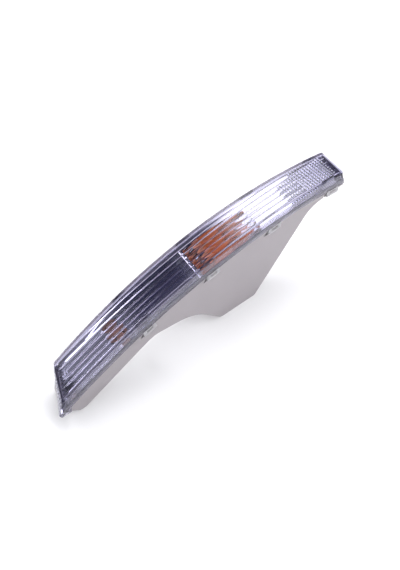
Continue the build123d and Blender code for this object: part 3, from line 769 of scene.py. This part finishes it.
# Painted light: a faint glow on the brown amber lacquer, in place of light that doesn't get in through the
# lens.
painted_glow(brown_amber, (0.62, 0.42, 0.39), 0.16)
make_piece(
    "marker_bulb_capsule", wedge_points, wedge_faces, brown_amber,
    "marker_unit", ["marker_bulb_glass"],
)
filament(
    "marker_coil", span=0.004, height=0.017, root=-0.0035, turns=9,
    to_row=marker_row, body="marker_unit", node="marker_filament",
)

# Lens seal: a bead of pale grey sealant run round the housing's rim, which also glues the lens down.
# Through the clear rim of the lens it shows as a grey band.
grey_sealant = surface(
    "grey_sealant", (0.58, 0.56, 0.64), spread=0.05, rough=(0.4, 0.5), grain=500.0, height=0.00001
)
dress("lens_seal", grey_sealant)

# Lens: one clear acrylic moulding, polished outside and fluted inside, with a pillow patch at the square end
# and ribs inside its near wall. Its skirt laps over the housing, and the sealant and its tabs hold it.
acrylic_index = 1.49
clear_acrylic = glass(
    "clear_acrylic", (0.80, 0.79, 0.865), spread=0.01, rough=(0.0, 0.03), grain=220.0, height=0.000003,
    index=acrylic_index,
)
acrylic_tree = clear_acrylic.node_tree
acrylic_body = add_node(acrylic_tree, "VolumeAbsorption", Color=(0.75, 0.74, 0.84, 1.0), Density=120.0)
acrylic_tree.links.new(acrylic_body.outputs[0], acrylic_tree.nodes["Material Output"].inputs["Volume"])
edge_acrylic = glass(
    "edge_acrylic", (0.56, 0.55, 0.66), spread=0.05, rough=(0.2, 0.35), grain=400.0, height=0.00003,
    index=acrylic_index, clear=0.5,
)
far_skirt, near_seat, far_seat = 0.011, 0.014, 0.006
skirt_wall, ledge_wall, face_wall = 0.0022, 0.0042, 0.0022
ridge, ridge_steps = 0.003, 7
rim_round, rim_steps = 0.001, 5
lens_flute_rise, lens_flute_steps = 0.0009, 16
pillow_start, pillow_stop, pillow_pitch, pillow_rise = 0.144, 0.192, 0.004, 0.0011
rib_pitch, rib_carve, rib_steps, rib_stop = 0.0024, 0.0005, 8, 0.0012
corner_round, brow_round, corner_steps = 0.0035, 0.0012, 8
near_line, far_line, far_inner_line = 0.011, 0.005, 0.0045
face_lines = (-0.0165, -0.011, -0.005, 0.001, 0.007)


def inner_depth(x, y):
    """Inside of the face: lengthwise flutes, and small pillows over the square end."""
    if pillow_start < x < pillow_stop:
        turn_x = math.pi * (x - pillow_start) / pillow_pitch
        turn_y = 2 * math.pi * y / flute_pitch
        return face_wall + pillow_rise * abs(math.sin(turn_x) * math.sin(turn_y))
    return float(flutes(y, face_wall, lens_flute_rise))


def rounding(radius, away):
    """How far a rounded edge of this radius draws back at a distance from the end."""
    return radius - math.sqrt(max(radius ** 2 - max(radius - away, 0.0) ** 2, 0.0))


def sheet_faces(count, rows, first=0):
    """Quads of a grid of lengthwise columns."""
    faces = []
    for c in range(count - 1):
        for r in range(rows - 1):
            a = first + c * rows + r
            faces.append((a, a + 1, a + rows + 1, a + rows))
    return faces


outer_rails = [(-half_width, -free, flat(depth)) for depth in (near_skirt, near_line)]
for t in quarter_turn(ridge_steps):
    outer_rails.append((-half_width + ridge - ridge * math.cos(t), -free, flat(ridge - ridge * math.sin(t))))
outer_rails += [(y, -free, flat(0.0)) for y in face_lines]
outer_rails.append((free, far_line, flat(0.0)))
for t in quarter_turn(rim_steps):
    outer_rails.append((free, rim_round - rim_round * math.sin(t), flat(rim_round - rim_round * math.cos(t))))
outer_rails += [(free, 0.0, flat(depth)) for depth in (far_seat, far_skirt)]
outer_rails = [(*rail, 0.0) for rail in outer_rails]

inner_rails = [(skirt_wall - half_width, -free, flat(depth), skirt_wall) for depth in (near_skirt, near_seat)]
upper_first = len(inner_rails)
for depth in np.arange(near_seat, ridge + rib_stop, -rib_pitch / rib_steps):
    carve = rib_carve * abs(math.sin(math.pi * (near_seat - depth) / rib_pitch))
    inner_rails.append((ledge_wall - carve - half_width, -free, flat(float(depth)), ledge_wall))
inner_rails.append((ledge_wall - half_width, -free, inner_depth, ledge_wall))
across = np.arange(-flute_reach, flute_reach + weld, flute_pitch / lens_flute_steps)
across = [float(y) for y in across if y > ledge_wall - half_width + clear_of_wall]
for i, y in enumerate(across):
    inner_rails.append((y, ledge_wall + (len(across) - i) * bunched, inner_depth, ledge_wall))
inner_rails.append((free, ledge_wall, inner_depth, ledge_wall))
inner_rails += [(free, ledge_wall, flat(depth), ledge_wall) for depth in (far_inner_line, far_seat)]
upper_last = len(inner_rails) - 1
inner_rails += [(free, skirt_wall, flat(depth), skirt_wall) for depth in (far_seat, far_skirt)]

coarse_step, fine_step, gap_steps = 0.003, 0.0005, 6
fixed = [*np.arange(-0.165, 0.1421, coarse_step), *np.arange(0.1425, 0.1921, fine_step)]
end_offsets = [corner_round * (1 - math.cos(t)) for t in quarter_turn(corner_steps)]
rows = len(fixed) + 2 * gap_steps + 2 * len(end_offsets)
lens_points = []
for near_y, far_gap, depth, inset in outer_rails + inner_rails:
    start = end_of("left", inset, near_y, far_gap, depth)
    stop = end_of("right", inset, near_y, far_gap, depth)
    left_gap = np.linspace(start + end_offsets[-1], fixed[0], gap_steps + 2)[1:-1]
    right_gap = np.linspace(fixed[-1], stop - end_offsets[-1], gap_steps + 2)[1:-1]
    xs = [start + away for away in end_offsets]
    xs += [*left_gap, *fixed, *right_gap]
    xs += [stop - away for away in end_offsets[::-1]]
    for x in xs:
        y = float(rail_y(x, near_y, far_gap))
        deep = depth(x, y)
        if inset == 0.0:
            away = min(x - start, stop - x)
            drawn = rounding(corner_round, away)
            y = min(max(y, drawn - half_width), float(far_edge(x)) - drawn)
            deep = max(deep, rounding(brow_round, away))
        lens_points.append((x, y, float(arch_z(x, deep))))
inner_first = len(outer_rails) * rows
lens_faces = sheet_faces(len(outer_rails), rows)
lens_faces += sheet_faces(len(inner_rails), rows, inner_first)
outer_last = (len(outer_rails) - 1) * rows
inner_last = inner_first + (len(inner_rails) - 1) * rows
for r in range(rows - 1):
    lens_faces.append((r, r + 1, inner_first + r + 1, inner_first + r))
    lens_faces.append((outer_last + r, outer_last + r + 1, inner_last + r + 1, inner_last + r))
for r in (0, rows - 1):
    rim = [inner_first + c * rows + r for c in range(len(inner_rails))]
    lens_faces.append([c * rows + r for c in range(len(outer_rails))])
    lens_faces.append(rim[upper_first:upper_last + 1])
    lens_faces.append((rim[1], rim[upper_first], rim[upper_last], rim[upper_last + 1]))
    lens_faces.append((rim[0], rim[1], rim[upper_last + 1], rim[upper_last + 2]))
    lens_faces.append((r, outer_last + r, rim[upper_last + 2], rim[0]))
lens = make_piece("lens_moulding", lens_points, lens_faces, clear_acrylic, "lamp", ["lens"])
lens.data.materials.append(edge_acrylic)
lens_end_from, lens_end_facing = 0.18, 0.8
for face in lens.data.polygons:
    outward = face.normal.x * face.center.x > 0
    if outward and abs(face.normal.x) > lens_end_facing and abs(face.center.x) > lens_end_from:
        face.material_index = 1

# Lens tabs: flat tongues in one piece with the lens, below both skirts, each with a window that snaps over a
# catch on the housing. They are of the same acrylic, frosted by the mould.
frosted_acrylic = glass(
    "frosted_acrylic", (0.70, 0.69, 0.71), spread=0.02, rough=(0.4, 0.55), grain=900.0, height=0.00003,
    index=acrylic_index, clear=0.45,
)
tab_half, toe_half, tab_top, toe_top, tab_foot = 0.009, 0.008, 0.00002, 0.0075, 0.0085
window_half, window_top, window_foot = 0.0045, 0.0019, 0.0053
tab_ring = [
    (-tab_half, tab_top),
    (tab_half, tab_top),
    (tab_half, toe_top),
    (toe_half, tab_foot),
    (-toe_half, tab_foot),
    (-tab_half, toe_top),
]
tab_window = [
    (-window_half, window_top),
    (window_half, window_top),
    (window_half, window_foot),
    (-window_half, window_foot),
]
tab_outline = tab_ring + tab_window
ring_total, tab_total = len(tab_ring), len(tab_outline)
tab_front = [(0, 1, 7, 6), (1, 2, 8, 7), (2, 3, 4, 5, 9, 8), (5, 0, 6, 9)]
tab_points, tab_faces = [], []
for x in (-0.091, 0.001, 0.093, 0.185):
    for side, skirt in ((-1, near_skirt), (1, far_skirt)):
        turn = math.asin((x - arch_x) / arch_radius)
        yaw = 0.0 if side < 0 else -math.asin((x - bow_x) / bow_radius)
        edge_y = -half_width if side < 0 else float(far_edge(x))
        radius = arch_radius - skirt
        edge_z = arch_top - arch_radius + radius * math.cos(turn)
        origin = Vector((arch_x + radius * math.sin(turn), edge_y, edge_z))
        along = Vector((math.cos(turn) * math.cos(yaw), math.sin(yaw), -math.sin(turn)))
        down = Vector((-math.sin(turn), 0.0, -math.cos(turn)))
        inward = Vector((0.0, -side, 0.0))
        first = len(tab_points)
        for deep in (0.0, skirt_wall):
            tab_points += [tuple(origin + along * a + down * b + inward * deep) for a, b in tab_outline]
        tab_faces += [tuple(first + i for i in f) for f in tab_front]
        tab_faces += [tuple(first + tab_total + i for i in f[::-1]) for f in tab_front]
        for loop in (range(ring_total), range(ring_total, tab_total)):
            for i, j in zip(loop, [*loop[1:], loop[0]]):
                tab_faces.append((first + i, first + j, first + tab_total + j, first + tab_total + i))
make_piece("lens_tabs", tab_points, tab_faces, frosted_acrylic, "lamp", [])

# Lens nose: a small clear lug at the foot of the near skirt, by the pointed end.
# It is moulded in one piece with the lens, and its lower front corner is rounded.
nose_length, nose_height, nose_round, nose_steps = 0.014, 0.007, 0.003, 6
tip_x = ends["left"][0]
nose_z = float(arch_z(tip_x, near_skirt))
nose = [(tip_x + nose_length, nose_z + nose_height), (tip_x + nose_length, nose_z)]
for t in quarter_turn(nose_steps):
    front_x = tip_x + nose_round - nose_round * math.sin(t)
    nose.append((front_x, nose_z + nose_round - nose_round * math.cos(t)))
nose_points = [(x, -half_width + deep, z) for deep in (0.0, skirt_wall) for x, z in nose]
count = len(nose)
nose_faces = [tuple(range(count)), tuple(range(2 * count - 1, count - 1, -1))]
nose_faces += [(i, i + count, (i + 1) % count + count, (i + 1) % count) for i in range(count)]
make_piece("lens_nose", nose_points, nose_faces, clear_acrylic, "lamp", [])
